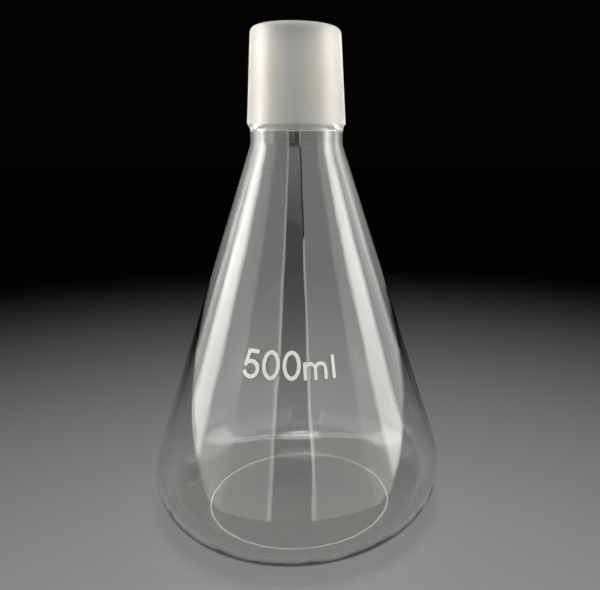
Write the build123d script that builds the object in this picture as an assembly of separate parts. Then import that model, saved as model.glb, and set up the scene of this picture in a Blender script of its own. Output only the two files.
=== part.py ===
from build123d import *
import math
import os

# A 500 ml conical flask that ends in a male ground cone instead of a beaded rim.
# Millimetres, +Z up, origin on the bench under the middle of the base. The capacity print faces -Y.

# Overall sizes
flask_diameter = 105.0
overall_height = 175.0

# Ground cone, nominal size 34.5/35: large end, length that is ground, and the standard 1:10 taper on diameter
joint_large_diameter = 34.5
joint_length = 32.5
joint_taper = 0.1

# Neck: the ground zone stands proud of the clear neck, which is sealed to the cone just below it
joint_step = 1.0
grinding_edge = 0.3
seal_below_joint = 3.0
straight_neck = 2.8
neck_blend_radius = 8.0

# Glass thickness
neck_wall = 1.9
rim_wall = 2.4
side_wall = 1.8
floor_thickness = 2.4

# Base: heel bends, the flat ring that the flask stands on, and the shallow punt inside that ring
heel_radius = 18.5
heel_wall = 2.5
foot_ring_width = 2.0
punt_rise = 1.5

# Rounding of the fire-polished rim
rim_outer_radius = 1.8
rim_inner_radius = 0.5

# Enamel capacity print
enamel_thickness = 0.15
print_baseline = 63.0
print_azimuth = -4.0
digit_height = 8.7
digit_width = 5.7
digit_stroke = 1.15
small_letter_height = 5.2
tall_letter_height = 6.9
m_width = 7.5
letter_stroke = 1.0
digit_gap = 0.8
unit_gap = 0.7
letter_gap = 1.5

# Heights and radii that follow from the sizes above
joint_bottom = overall_height - joint_length
joint_large_radius = joint_large_diameter / 2
joint_small_radius = joint_large_radius - joint_taper / 2 * joint_length
seal_height = joint_bottom - seal_below_joint
blend_height = seal_height - straight_neck
neck_radius = joint_large_radius - joint_step
neck_bore_radius = neck_radius - neck_wall
rim_bore_radius = joint_small_radius - rim_wall
foot_radius = flask_diameter / 2 - heel_radius
ring_inner_radius = foot_radius - foot_ring_width
inner_heel_radius = heel_radius - heel_wall


def side_slant(foot, heel, heel_height, neck, blend):
    """Angle from upright of the line that touches both the heel's arc and the neck's blend arc."""
    across = neck + blend - foot
    up = blend_height - heel_height
    return math.atan2(up, across) - math.acos((heel + blend) / math.hypot(across, up))


slant = side_slant(foot_radius, heel_radius, heel_radius, neck_radius, neck_blend_radius)


def side_radius(height, outward=0.0):
    """Radius of the slanted side at a height, on a surface this far outside the glass."""
    across = heel_radius + outward - (height - heel_radius) * math.sin(slant)
    return foot_radius + across / math.cos(slant)


def side_outline(foot, heel, heel_height, neck, blend):
    """Heel arc, slanted line and neck arc of one face of the body, inside the current line builder."""
    turn = math.degrees(side_slant(foot, heel, heel_height, neck, blend))
    heel_arc = CenterArc((foot, heel_height), heel, -90, 90 + turn)
    neck_arc = CenterArc((neck + blend, blend_height), blend, 180 + turn, -turn)
    Line(heel_arc @ 1, neck_arc @ 0)
    Line(neck_arc @ 1, (neck, seal_height))


def punt_outline(height, outer_radius, rise):
    """Soft S-shaped rise from a level ring at this height to the middle of the base."""
    middle = outer_radius / 2
    Bezier((outer_radius, height), (middle, height), (middle, height + rise), (0, height + rise))


def body_section():
    """Half section of the blown body: the outside and the inside, from the base to the seal."""
    inner_foot = flask_diameter / 2 - side_wall - inner_heel_radius
    inner_heel_height = floor_thickness + inner_heel_radius
    inner_blend = neck_blend_radius + neck_wall
    with BuildSketch(Plane.XZ) as section:
        with BuildLine():
            punt_outline(0, ring_inner_radius, punt_rise)
            Line((ring_inner_radius, 0), (foot_radius, 0))
            side_outline(foot_radius, heel_radius, heel_radius, neck_radius, neck_blend_radius)
            Line((neck_radius, seal_height), (neck_bore_radius, seal_height))
            side_outline(inner_foot, inner_heel_radius, inner_heel_height, neck_bore_radius, inner_blend)
            punt_outline(floor_thickness, inner_foot, punt_rise)
            Line((0, punt_rise), (0, punt_rise + floor_thickness))
        make_face()
    return section.sketch


def cone_section():
    """Half section of the ground cone, from the seal up over the rim and down the bore."""
    edge = (joint_large_radius - grinding_edge, joint_bottom - grinding_edge)
    with BuildSketch(Plane.XZ) as section:
        with BuildLine():
            TangentArc((neck_radius, seal_height), edge, tangent=(0, 1))
            Line(edge, (joint_large_radius, joint_bottom))
            Line((joint_large_radius, joint_bottom), (joint_small_radius, overall_height))
            Line((joint_small_radius, overall_height), (rim_bore_radius, overall_height))
            Line((rim_bore_radius, overall_height), (neck_bore_radius, seal_height))
            Line((neck_bore_radius, seal_height), (neck_radius, seal_height))
        make_face()
        rim_corners = section.vertices().group_by(Axis.Y)[-1].sort_by(Axis.X)
        fillet(rim_corners[-1], rim_outer_radius)
        rim_corners = section.vertices().group_by(Axis.Y)[-1].sort_by(Axis.X)
        fillet(rim_corners[0], rim_inner_radius)
    return section.sketch


def digit_five():
    """Centred 5 standing on the baseline: an open round bowl, a leaning stem and a top bar."""
    bowl_radius = (digit_width - digit_stroke) / 2
    bowl_height = bowl_radius + digit_stroke / 2
    stem_top = (-0.42 * bowl_radius, digit_height - digit_stroke / 2)
    with BuildSketch() as glyph:
        with BuildLine() as pen:
            bowl = CenterArc((0, bowl_height), bowl_radius, -165, 312)
        trace(pen.line, digit_stroke)
        with BuildLine() as pen:
            Line(bowl @ 1, stem_top)
        trace(pen.line, digit_stroke)
        with BuildLine() as pen:
            Line(stem_top, (bowl_radius, stem_top[1]))
        trace(pen.line, digit_stroke)
        with Locations(bowl @ 1, stem_top):
            Circle(digit_stroke / 2)
    return glyph.sketch


def digit_zero():
    """Centred oval 0 standing on the baseline."""
    with BuildSketch(Location((0, digit_height / 2))) as glyph:
        Ellipse(digit_width / 2, digit_height / 2)
        Ellipse(digit_width / 2 - digit_stroke, digit_height / 2 - digit_stroke, mode=Mode.SUBTRACT)
    return glyph.sketch


def letter_m():
    """Centred lower-case m: a stem and two arches, each a half ring on a leg."""
    arch_radius = (m_width - letter_stroke) / 4
    leg_height = small_letter_height - arch_radius - letter_stroke / 2
    with BuildSketch() as glyph:
        with Locations((-2 * arch_radius, small_letter_height / 2)):
            Rectangle(letter_stroke, small_letter_height)
        for arch in (-arch_radius, arch_radius):
            with BuildLine() as pen:
                half_ring = CenterArc((arch, leg_height), arch_radius, 180, -180)
                Line(half_ring @ 1, (arch + arch_radius, 0))
            trace(pen.line, letter_stroke)
    return glyph.sketch


def letter_l():
    """Centred l: one upright stroke."""
    with BuildSketch(Location((0, tall_letter_height / 2))) as glyph:
        Rectangle(letter_stroke, tall_letter_height)
    return glyph.sketch


# Each character of the print: its node, shape, width, and the gap before it
characters = [
    ("capacity_digits", digit_five(), digit_width, 0.0),
    ("capacity_digits", digit_zero(), digit_width, digit_gap),
    ("capacity_digits", digit_zero(), digit_width, digit_gap),
    ("capacity_unit", letter_m(), m_width, unit_gap),
    ("capacity_unit", letter_l(), letter_stroke, letter_gap),
]


def side_skin():
    """Thin shell on the outside of the slanted side, from below the print to above it."""
    low = print_baseline - digit_height / 2
    high = print_baseline + digit_height * 1.5
    with BuildSketch(Plane.XZ) as section:
        Polygon(
            (side_radius(low), low),
            (side_radius(low, enamel_thickness), low),
            (side_radius(high, enamel_thickness), high),
            (side_radius(high), high),
            align=None,
        )
    return revolve(section.sketch, Axis.Z)


def enamel_print():
    """The characters, each wrapped on the side at its own place along the printed line."""
    skin = side_skin()
    print_radius = side_radius(print_baseline + digit_height / 2)
    reach = side_radius(print_baseline - digit_height / 2) * 1.2
    line_width = sum(width + gap for _, _, width, gap in characters)
    pen_position = -line_width / 2
    pieces = {}
    for node, glyph, width, gap in characters:
        pen_position += gap + width / 2
        azimuth = print_azimuth + math.degrees(pen_position / print_radius)
        pen_position += width / 2
        upright = Plane((0, -reach, print_baseline), x_dir=(1, 0, 0), z_dir=(0, -1, 0))
        block = extrude(upright * glyph, -reach)
        pieces.setdefault(node, []).append(Rot(0, 0, azimuth) * (block & Rot(0, 0, -azimuth) * skin))
    return pieces


flask_body = revolve(body_section(), Axis.Z)
ground_cone = revolve(cone_section(), Axis.Z)

os.makedirs("parts", exist_ok=True)
export_step(flask_body, "parts/flask_body.step")
export_step(ground_cone, "parts/ground_cone.step")
for node, pieces in enamel_print().items():
    export_step(Compound(children=pieces), f"parts/{node}.step")
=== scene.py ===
import bpy
import math
from mathutils import Matrix, Vector


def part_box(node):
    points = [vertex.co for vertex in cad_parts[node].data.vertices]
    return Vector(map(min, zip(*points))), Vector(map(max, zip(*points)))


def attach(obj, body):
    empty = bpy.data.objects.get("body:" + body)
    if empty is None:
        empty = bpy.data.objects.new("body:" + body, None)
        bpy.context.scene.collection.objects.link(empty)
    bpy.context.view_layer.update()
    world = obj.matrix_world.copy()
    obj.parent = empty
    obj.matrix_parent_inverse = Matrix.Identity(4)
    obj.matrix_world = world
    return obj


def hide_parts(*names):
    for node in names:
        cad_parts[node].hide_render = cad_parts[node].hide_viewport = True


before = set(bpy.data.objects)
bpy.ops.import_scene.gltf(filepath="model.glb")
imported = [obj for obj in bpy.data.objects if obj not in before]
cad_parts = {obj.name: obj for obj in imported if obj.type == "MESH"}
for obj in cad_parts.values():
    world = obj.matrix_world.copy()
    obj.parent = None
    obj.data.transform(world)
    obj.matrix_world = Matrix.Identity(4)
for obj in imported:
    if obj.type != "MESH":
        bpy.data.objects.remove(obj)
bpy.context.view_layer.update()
bpy.ops.object.select_all(action="DESELECT")

# ---------------------------------------------------------------------------
# Camera. It stands close to the flask, just under the height of the ground
# cone, and looks slightly down, so that the base is seen from above.
mm = 0.001
camera_distance = 226.0 * mm
camera_side = 4.32 * mm
camera_height = 134.68 * mm
camera_turn = math.radians(3.84)
camera_dip = math.radians(8.71)
camera_roll = math.radians(0.22)
film_width = 36
focal_length = 37.6902
forward = Vector((
    math.sin(camera_turn) * math.cos(camera_dip),
    math.cos(camera_turn) * math.cos(camera_dip),
    -math.sin(camera_dip),
))
level_right = Vector((math.cos(camera_turn), -math.sin(camera_turn), 0))
level_up = level_right.cross(forward)
right = math.cos(camera_roll) * level_right + math.sin(camera_roll) * level_up
up = math.cos(camera_roll) * level_up - math.sin(camera_roll) * level_right
bpy.ops.object.camera_add()
camera = bpy.context.object
camera.name = "camera"
tripod = Matrix.Translation((camera_side, -camera_distance, camera_height))
camera.matrix_world = tripod @ Matrix((right, up, -forward)).transposed().to_4x4()
camera.data.sensor_width = film_width
camera.data.lens = focal_length
camera.data.shift_x = -0.0856
camera.data.shift_y = -0.0866
camera.data.clip_start = 10 * mm
bpy.context.scene.camera = camera


# ---------------------------------------------------------------------------
# Bench top and studio. The flask stands on plain pale laminate in a soft pool
# of light from above. Upright softboxes stand in a ring round it, flagged so
# that they light the glass and not the bench, and behind it all is dark.
bench_width = 8.0
bench_gap = 0.05 * mm
panel_distance = 0.6
overhead_length = 1.6
overhead_width = 0.06
power_per_radiance = 4
inner_softening = 0.6


def linear(hex_colour):
    """Linear RGBA of an sRGB hex colour."""
    parts = [int(hex_colour[i:i + 2], 16) / 255 for i in (1, 3, 5)]
    return [p / 12.92 if p <= 0.04045 else ((p + 0.055) / 1.055) ** 2.4 for p in parts] + [1]


def add_node(tree, kind, settings=None, **links):
    """Adds a node. A setting is an attribute, an input or its number, a link an input or i and its number."""
    node = tree.nodes.new(kind)
    for name, value in (settings or {}).items():
        if isinstance(name, int) or name in node.inputs:
            node.inputs[name].default_value = value
        else:
            setattr(node, name, value)
    for name, source in links.items():
        numbered = name[0] == "i" and name[1:].isdigit()
        tree.links.new(source, node.inputs[int(name[1:]) if numbered else name.replace("_", " ")])
    return node


def new_material(name):
    """An empty node material, with its tree and its output."""
    material = bpy.data.materials.new(name)
    material.use_nodes = True
    material.node_tree.nodes.clear()
    output = material.node_tree.nodes.new("ShaderNodeOutputMaterial")
    return material, material.node_tree, output


bpy.ops.mesh.primitive_plane_add(size=bench_width, location=(0, 0, -bench_gap))
bench = bpy.context.object
bench.name = "bench"

# Matt laminate, printed and pressed: an even pale grey without shine, in very faint broad clouds.
laminate, tree, output = new_material("matt_laminate")
place = add_node(tree, "ShaderNodeTexCoord")
clouds = add_node(tree, "ShaderNodeTexNoise", {"Scale": 1 / (110 * mm), "Detail": 3},
                  Vector=place.outputs["Object"])
tone = add_node(tree, "ShaderNodeMixRGB", {"Color1": linear("#B6B7B9"), "Color2": linear("#BDBDBE")},
                Fac=clouds.outputs["Fac"])
pressed = add_node(tree, "ShaderNodeBsdfPrincipled", {"Roughness": 0.75}, Base_Color=tone.outputs["Color"])
tree.links.new(pressed.outputs["BSDF"], output.inputs["Surface"])
bench.data.materials.append(laminate)


def area_lamp(name, spot, shape, width, power):
    """A lamp that hangs face down, out of the camera's sight."""
    bpy.ops.object.light_add(type="AREA", location=spot)
    lamp = bpy.context.object
    lamp.name = name
    lamp.visible_camera = False
    lamp.data.shape = shape
    lamp.data.size = width
    lamp.data.energy = power
    return lamp


def hide_behind_glass(wires, strength):
    """Hides a lamp seen straight through both walls, and softens it in reflections from inside the glass."""
    rays = add_node(wires, "ShaderNodeLightPath")
    faces_passed = rays.outputs["Transmission Depth"]
    unreflected = add_node(wires, "ShaderNodeMath", {"operation": "LESS_THAN", 1: 0.5},
                           i0=rays.outputs["Glossy Depth"])
    entered = add_node(wires, "ShaderNodeMath", {"operation": "GREATER_THAN", 1: 0.5}, i0=faces_passed)
    in_wall = add_node(wires, "ShaderNodeMath", {"operation": "MODULO", 1: 2.0}, i0=faces_passed)
    out_again = add_node(wires, "ShaderNodeMath", {"operation": "SUBTRACT", 0: 1.0},
                         i1=in_wall.outputs["Value"])
    straight = add_node(wires, "ShaderNodeMath", {"operation": "MULTIPLY"},
                        i0=unreflected.outputs["Value"], i1=entered.outputs["Value"])
    hidden = add_node(wires, "ShaderNodeMath", {"operation": "MULTIPLY"},
                      i0=straight.outputs["Value"], i1=out_again.outputs["Value"])
    shown = add_node(wires, "ShaderNodeMath", {"operation": "SUBTRACT", 0: 1.0},
                     i1=hidden.outputs["Value"])
    inner = add_node(wires, "ShaderNodeMath", {"operation": "GREATER_THAN", 1: 3.5}, i0=faces_passed)
    softened = add_node(wires, "ShaderNodeMath", {"operation": "MULTIPLY_ADD", 1: -inner_softening, 2: 1.0},
                        i0=inner.outputs["Value"])
    kept = add_node(wires, "ShaderNodeMath", {"operation": "MULTIPLY"},
                    i0=shown.outputs["Value"], i1=softened.outputs["Value"])
    level = add_node(wires, "ShaderNodeMath", {"operation": "MULTIPLY"},
                     i0=strength, i1=kept.outputs["Value"])
    wires.links.new(level.outputs["Value"], wires.nodes["Emission"].inputs["Strength"])


def softbox(name, azimuth, low, high, width, radiance):
    """An upright lamp that faces the flask and fades towards its foot. Azimuth 90 is to the right."""
    angle = math.radians(azimuth)
    spot = Vector((panel_distance * math.sin(angle), -panel_distance * math.cos(angle), (low + high) / 2))
    power = power_per_radiance * radiance * width * (high - low)
    lamp = area_lamp(name, spot, "RECTANGLE", width, power)
    lamp.rotation_euler = (Vector((0, 0, spot.z)) - spot).to_track_quat("-Z", "Y").to_euler()
    lamp.light_linking.receiver_collection = flagged
    lamp.data.size_y = high - low
    lamp.data.color = linear("#FFFDFB")[:3]
    lamp.data.use_nodes = True
    wires = lamp.data.node_tree
    lamp_face = add_node(wires, "ShaderNodeNewGeometry")
    up_the_face = add_node(wires, "ShaderNodeSeparateXYZ", Vector=lamp_face.outputs["Parametric"])
    fade = add_node(wires, "ShaderNodeMapRange", {
        "interpolation_type": "SMOOTHSTEP", "From Min": 0.0, "From Max": 0.4, "To Min": 0.5, "To Max": 1.0,
    }, Value=up_the_face.outputs["Y"])
    hide_behind_glass(wires, fade.outputs["Result"])


flagged = bpy.data.collections.new("flagged_off_bench")
flagged.objects.link(bench)
flagged.collection_objects[0].light_linking.link_state = "EXCLUDE"
panels = (
    # name, from and to azimuth, low and high edge, radiance
    ("front_left", -55, -22, 0.0, 0.7, 1.5), ("front_right", 12, 55, 0.0, 0.7, 1.5),
    ("sliver_left", -22, -19, 0.0, 0.7, 3.2), ("sliver_right", 9, 12, 0.0, 0.4, 3.0),
    ("side_left", -85, -55, 0.0, 0.7, 2.2), ("side_right", 55, 75, 0.0, 0.7, 2.3),
    ("strip_left", -109, -85, 0.0, 0.7, 6.5), ("strip_right", 75, 98, 0.0, 0.7, 6.5),
    ("rear_left", -129, -109, 0.0, 0.7, 1.8), ("rear_right", 98, 129, 0.0, 0.7, 1.9),
    ("back_left", -165, -129, 0.0, 0.7, 0.25), ("back_right", 129, 165, 0.0, 0.7, 0.25),
    ("over_camera", -19, 9, 0.42, 0.8, 1.3), ("behind_camera", -19, 9, 0.0, 0.42, 0.4),
)
for name, start, end, low, high, radiance in panels:
    width = 2 * panel_distance * math.tan(math.radians(end - start) / 2)
    softbox(name, (start + end) / 2, low, high, width, radiance)

pool = area_lamp("bench_pool", (0, -0.15, 0.9), "DISK", 0.35, 0.5)
pool.data.spread = math.radians(55)
overhead = area_lamp("overhead_strip", (0, -0.1, 0.85), "RECTANGLE", overhead_length,
                     power_per_radiance * 5.0 * overhead_length * overhead_width)
overhead.data.size_y = overhead_width
overhead.light_linking.receiver_collection = flagged
world = bpy.data.worlds.new("dark_studio")
world.use_nodes = True
world.node_tree.nodes["Background"].inputs["Color"].default_value = linear("#040404")
bpy.context.scene.world = world
bpy.context.scene.view_settings.view_transform = "Standard"

# ---------------------------------------------------------------------------
# Flask body. Borosilicate glass blown into a mould: a thin slanted side, a
# soft thick heel, a flat foot ring round a shallow punt, and an open neck.
body_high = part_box("flask_body")[1]
cone_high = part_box("ground_cone")[1]
seal_height = body_high.z
body_radius = body_high.x
joint_large_radius = cone_high.x
joint_step = 1.0 * mm
neck_radius = joint_large_radius - joint_step
neck_wall = 1.9 * mm
side_wall = 1.8 * mm
floor_thickness = 2.4 * mm
heel_radius = 18.5 * mm
heel_wall = 2.5 * mm
inner_heel_radius = heel_radius - heel_wall
inner_foot_radius = body_radius - side_wall - inner_heel_radius
foot_radius = body_radius - heel_radius
foot_ring_width = 2.0 * mm
scuff_width = 0.6 * mm
ring_inner_radius = foot_radius - foot_ring_width
scuff_radius = foot_radius - scuff_width
punt_rise = 1.5 * mm
blend_radius = 8.0 * mm
straight_neck = 2.8 * mm
blend_height = seal_height - straight_neck
ring_points = 256
weld_distance = 0.001 * mm


def shares(count):
    """Even shares of a run, from its first step to the whole."""
    return [i / count for i in range(1, count + 1)]


def side_outline(foot, heel, heel_height, neck, blend):
    """Points from the foot over the heel and up the slanted side to the seal, each a radius and a height."""
    across = neck + blend - foot
    rise = blend_height - heel_height
    slant = math.atan2(rise, across) - math.acos((heel + blend) / math.hypot(across, rise))
    level = math.radians(90)
    heel_turns = [(level + slant) * t - level for t in [0] + shares(40)]
    heel_points = [(foot + heel * math.cos(a), heel_height + heel * math.sin(a)) for a in heel_turns]
    blend_turns = [slant * (1 - t) for t in [0] + shares(10)]
    blend_points = [(neck + blend * (1 - math.cos(a)), blend_height - blend * math.sin(a))
                    for a in blend_turns]
    start, end = Vector(heel_points[-1]), Vector(blend_points[0])
    side_points = [tuple(start.lerp(end, t)) for t in shares(40)[:-1]]
    return heel_points + side_points + blend_points + [(neck, seal_height)]


def punt_outline(height, outer_radius):
    """Points from a level ring to the middle of the base, over the soft rise of the punt."""
    points = []
    for t in shares(24):
        rise = 3 * t * t - 2 * t ** 3
        along = (1 - t) ** 3 + 1.5 * t * (1 - t) ** 2 + 1.5 * t * t * (1 - t)
        points.append((outer_radius * along, height + punt_rise * rise))
    return points


def start_ring(name, radius, height):
    """A ring of edges to turn a piece of glass from."""
    bpy.ops.object.select_all(action="DESELECT")
    bpy.ops.mesh.primitive_circle_add(vertices=ring_points, radius=radius, location=(0, 0, height))
    ring = bpy.context.object
    ring.name = name
    bpy.ops.object.transform_apply(location=True, rotation=True, scale=True)
    bpy.ops.object.mode_set(mode="EDIT")
    bpy.ops.mesh.select_all(action="SELECT")
    return ring


def draw_out(radius, height, outline):
    """Extrudes the selected ring through the outline's points, and closes it where they meet the axis."""
    for next_radius, next_height in outline:
        bpy.ops.mesh.extrude_edges_move(TRANSFORM_OT_translate={"value": (0, 0, next_height - height)})
        if next_radius < weld_distance:
            bpy.ops.mesh.merge(type="CENTER")
            return
        grow = next_radius / radius
        bpy.ops.transform.resize(value=(grow, grow, 1), center_override=(0, 0, next_height))
        radius, height = next_radius, next_height


def select_ring(piece, radius, height):
    """Selects only the ring of points at this radius and height."""
    bpy.ops.mesh.select_all(action="DESELECT")
    bpy.ops.object.mode_set(mode="OBJECT")
    for vertex in piece.data.vertices:
        off = abs(vertex.co.xy.length - radius) + abs(vertex.co.z - height)
        vertex.select = off < weld_distance
    bpy.ops.object.mode_set(mode="EDIT")


def fire_polish(sharpest):
    """Welds the piece, faces it outwards and shades it smooth, but for edges sharper than these degrees."""
    bpy.ops.mesh.select_all(action="SELECT")
    bpy.ops.mesh.remove_doubles(threshold=weld_distance)
    bpy.ops.mesh.normals_make_consistent(inside=False)
    bpy.ops.object.mode_set(mode="OBJECT")
    bpy.ops.object.shade_smooth_by_angle(angle=math.radians(sharpest))


outside = side_outline(foot_radius, heel_radius, heel_radius, neck_radius, blend_radius)
inside = side_outline(inner_foot_radius, inner_heel_radius, floor_thickness + inner_heel_radius,
                      neck_radius - neck_wall, blend_radius + neck_wall)
body = start_ring("flask_glass", *outside[0])
draw_out(*outside[0], outside[1:] + inside[::-1] + punt_outline(floor_thickness, inner_foot_radius))
select_ring(body, *outside[0])
foot_ring = [(scuff_radius, 0), (ring_inner_radius, 0)]
draw_out(*outside[0], foot_ring + punt_outline(0, ring_inner_radius))
fire_polish(40)
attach(body, "root")
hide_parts("flask_body")


def let_pass(tree, kind_of_ray, glass, open_way):
    """Opens the glass to one kind of ray, so that light reaches what is behind it."""
    rays = add_node(tree, "ShaderNodeLightPath")
    return add_node(tree, "ShaderNodeMixShader", i0=rays.outputs[kind_of_ray],
                    i1=glass.outputs[0], i2=open_way.outputs[0])


# Borosilicate glass, blown: next to no colour, a trace of green in thick edges, and a fire-smooth skin
# that wanders over some 17 mm across and four times that in height, so reflections waver a little.
glass_ior = 1.474
fire_clear = linear("#FDFEFC")
clear_glass, tree, output = new_material("blown_borosilicate_glass")
place = add_node(tree, "ShaderNodeTexCoord")
stretch = add_node(tree, "ShaderNodeMapping", {"Scale": (1, 1, 0.25)}, Vector=place.outputs["Object"])
wander = add_node(tree, "ShaderNodeTexNoise", {"Scale": 1 / (17 * mm), "Detail": 2},
                  Vector=stretch.outputs["Vector"])
skin = add_node(tree, "ShaderNodeBump", {"Strength": 0.6, "Distance": 0.35 * mm},
                Height=wander.outputs["Fac"])
glass = add_node(tree, "ShaderNodeBsdfPrincipled", {
    "Base Color": fire_clear, "Roughness": 0.0, "IOR": glass_ior, "Transmission Weight": 1.0,
}, Normal=skin.outputs["Normal"])
open_way = add_node(tree, "ShaderNodeBsdfTransparent", {"Color": linear("#F8F8F7")})
lamps_pass = let_pass(tree, "Is Shadow Ray", glass, open_way)
bounces_pass = let_pass(tree, "Is Diffuse Ray", lamps_pass, open_way)
tree.links.new(bounces_pass.outputs["Shader"], output.inputs["Surface"])
body.data.materials.append(clear_glass)

# Scuffed borosilicate glass: the narrow ring that the flask stands on is rubbed dull by benches, in
# patches about a centimetre long, and catches the light as a thin, uneven pale line.
scuffed_glass, tree, output = new_material("scuffed_borosilicate_glass")
place = add_node(tree, "ShaderNodeTexCoord")
rubs = add_node(tree, "ShaderNodeTexNoise", {"Scale": 1 / (1.1 * mm), "Detail": 3},
                Vector=place.outputs["Object"])
tone = add_node(tree, "ShaderNodeMixRGB", {"Color1": linear("#8F8E83"), "Color2": linear("#CFCDC0")},
                Fac=rubs.outputs["Fac"])
patches = add_node(tree, "ShaderNodeTexNoise", {"Scale": 1 / (11 * mm), "Detail": 2},
                   Vector=place.outputs["Object"])
wear = add_node(tree, "ShaderNodeMapRange", {
    "From Min": 0.35, "From Max": 0.65, "To Min": 0.03, "To Max": 0.32,
}, Value=patches.outputs["Fac"])
worn_tone = add_node(tree, "ShaderNodeMixRGB", {"Color1": fire_clear},
                     Fac=wear.outputs["Result"], Color2=tone.outputs["Color"])
clearness = add_node(tree, "ShaderNodeMath", {"operation": "MULTIPLY_ADD", 1: -0.5, 2: 1.0},
                     i0=wear.outputs["Result"])
dullness = add_node(tree, "ShaderNodeMath", {"operation": "MULTIPLY", 1: 0.45}, i0=wear.outputs["Result"])
bump = add_node(tree, "ShaderNodeBump", {"Strength": 0.25, "Distance": 0.02 * mm},
                Height=rubs.outputs["Fac"])
scuffed = add_node(tree, "ShaderNodeBsdfPrincipled", {"IOR": glass_ior},
                   Base_Color=worn_tone.outputs["Color"], Roughness=dullness.outputs["Value"],
                   Transmission_Weight=clearness.outputs["Value"], Normal=bump.outputs["Normal"])
half_open = add_node(tree, "ShaderNodeBsdfTransparent", {"Color": linear("#C8C8C0")})
lamps_pass = let_pass(tree, "Is Shadow Ray", scuffed, half_open)
tree.links.new(lamps_pass.outputs["Shader"], output.inputs["Surface"])
body.data.materials.append(scuffed_glass)
for face in body.data.polygons:
    if face.center.z < weld_distance and face.center.xy.length > scuff_radius:
        face.material_index = 1

# ---------------------------------------------------------------------------
# Ground cone. A thicker glass tube flame-sealed to the neck. Its outside is
# ground to the standard taper, which leaves it frosted; the bore, the rim
# and the short flare below the ground zone keep their clear, melted skin.
joint_taper = 0.1
seal_below_joint = 3.0 * mm
joint_bottom = seal_height + seal_below_joint
rim_top = cone_high.z
joint_small_radius = joint_large_radius - joint_taper / 2 * (rim_top - joint_bottom)
rim_outer = 1.8 * mm
rim_inner = 0.5 * mm
rim_wall = 2.4 * mm
rim_bore_radius = joint_small_radius - rim_wall
neck_bore_radius = neck_radius - neck_wall
grinding_edge = 0.3 * mm
rim_glaze = 0.05 * mm
edge_height = joint_bottom - grinding_edge
flare_rise = edge_height - seal_height
flare_reach = joint_large_radius - grinding_edge - neck_radius
flare_radius = (flare_rise ** 2 + flare_reach ** 2) / (2 * flare_reach)
flare = [(neck_radius + flare_radius - math.sqrt(flare_radius ** 2 - (flare_rise * t) ** 2),
          seal_height + flare_rise * t) for t in shares(12)]
taper_top = Vector((joint_small_radius + joint_taper / 2 * rim_outer, rim_top - rim_outer))
taper_foot = Vector((joint_large_radius, joint_bottom))
taper = [tuple(taper_foot.lerp(taper_top, t)) for t in [0] + shares(40)]
quarter = math.radians(90)
rim = [(joint_small_radius - rim_outer * (1 - math.cos(quarter * t)),
        rim_top - rim_outer * (1 - math.sin(quarter * t))) for t in shares(12)]
rim += [(rim_bore_radius + rim_inner * (1 - math.sin(quarter * t)),
         rim_top - rim_inner * (1 - math.cos(quarter * t))) for t in [0] + shares(8)]
bore_top = Vector((rim_bore_radius, rim_top - rim_inner))
bore_foot = Vector((neck_bore_radius, seal_height))
bore = [tuple(bore_top.lerp(bore_foot, t)) for t in shares(24)]
cone = start_ring("cone_glass", neck_radius, seal_height)
draw_out(neck_radius, seal_height, flare + taper + rim + bore + [(neck_radius, seal_height)])
fire_polish(35)
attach(cone, "root")
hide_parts("ground_cone")
cone.data.materials.append(clear_glass)

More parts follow.
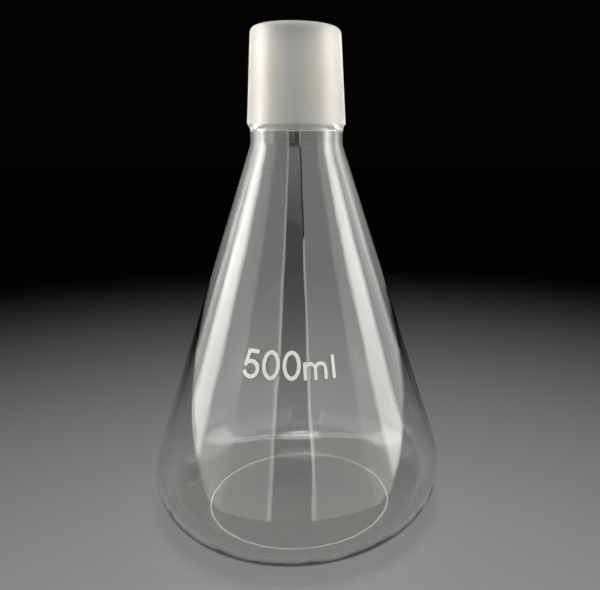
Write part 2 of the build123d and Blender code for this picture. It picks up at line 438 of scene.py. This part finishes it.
# Ground borosilicate glass: the wheel leaves an even frost that scatters light, so it reads white and
# only glows with what is behind it, with faint level rings from the turning cone. Real grit marks are
# a few hundredths of a millimetre, too fine to show, so they are drawn at a quarter of a millimetre.
frost, tree, output = new_material("ground_borosilicate_glass")
place = add_node(tree, "ShaderNodeTexCoord")
ring_scale = add_node(tree, "ShaderNodeMapping", {"Scale": (0.02, 0.02, 1)}, Vector=place.outputs["Object"])
rings = add_node(tree, "ShaderNodeTexNoise", {"Scale": 1 / (1.4 * mm), "Detail": 3},
                 Vector=ring_scale.outputs["Vector"])
grit = add_node(tree, "ShaderNodeTexNoise", {"Scale": 1 / (0.25 * mm), "Detail": 1},
                Vector=place.outputs["Object"])
relief = add_node(tree, "ShaderNodeMath", {"operation": "ADD"},
                  i0=rings.outputs["Fac"], i1=grit.outputs["Fac"])
bump = add_node(tree, "ShaderNodeBump", {"Strength": 0.3, "Distance": 0.02 * mm},
                Height=relief.outputs["Value"])
tone = add_node(tree, "ShaderNodeMixRGB", {"Color1": linear("#C8C7C1"), "Color2": linear("#D6D5CF")},
                Fac=rings.outputs["Fac"])
ground = add_node(tree, "ShaderNodeBsdfPrincipled", {
    "Roughness": 0.55, "IOR": glass_ior, "Transmission Weight": 0.8,
}, Base_Color=tone.outputs["Color"], Normal=bump.outputs["Normal"])
half_open = add_node(tree, "ShaderNodeBsdfTransparent", {"Color": linear("#9A9A98")})
lamps_pass = let_pass(tree, "Is Shadow Ray", ground, half_open)
tree.links.new(lamps_pass.outputs["Shader"], output.inputs["Surface"])
cone.data.materials.append(frost)
for face in cone.data.polygons:
    outward = face.normal.dot(Vector((face.center.x, face.center.y, 0))) > 0
    if outward and edge_height < face.center.z < rim_top - rim_glaze:
        face.material_index = 1

# ---------------------------------------------------------------------------
# Capacity print. White vitreous enamel, screened on the side and fired, in
# plain digits with the unit after them.

# Fired enamel: a thin, half-covering white with a dull sheen and a fine grain. The real grain is that
# of the screen's powder, too fine to show, so it is drawn at a third of a millimetre.
enamel, tree, output = new_material("fired_white_enamel")
place = add_node(tree, "ShaderNodeTexCoord")
grain = add_node(tree, "ShaderNodeTexNoise", {"Scale": 1 / (0.33 * mm), "Detail": 2},
                 Vector=place.outputs["Object"])
tone = add_node(tree, "ShaderNodeMixRGB", {"Color1": linear("#A8A8A3"), "Color2": linear("#C0C0BB")},
                Fac=grain.outputs["Fac"])
bump = add_node(tree, "ShaderNodeBump", {"Strength": 0.4, "Distance": 0.02 * mm},
                Height=grain.outputs["Fac"])
fired = add_node(tree, "ShaderNodeBsdfPrincipled", {"Roughness": 0.5, "IOR": 1.5},
                 Base_Color=tone.outputs["Color"], Normal=bump.outputs["Normal"])
tree.links.new(fired.outputs["BSDF"], output.inputs["Surface"])
for node in ("capacity_digits", "capacity_unit"):
    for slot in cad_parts[node].material_slots:
        slot.material = enamel
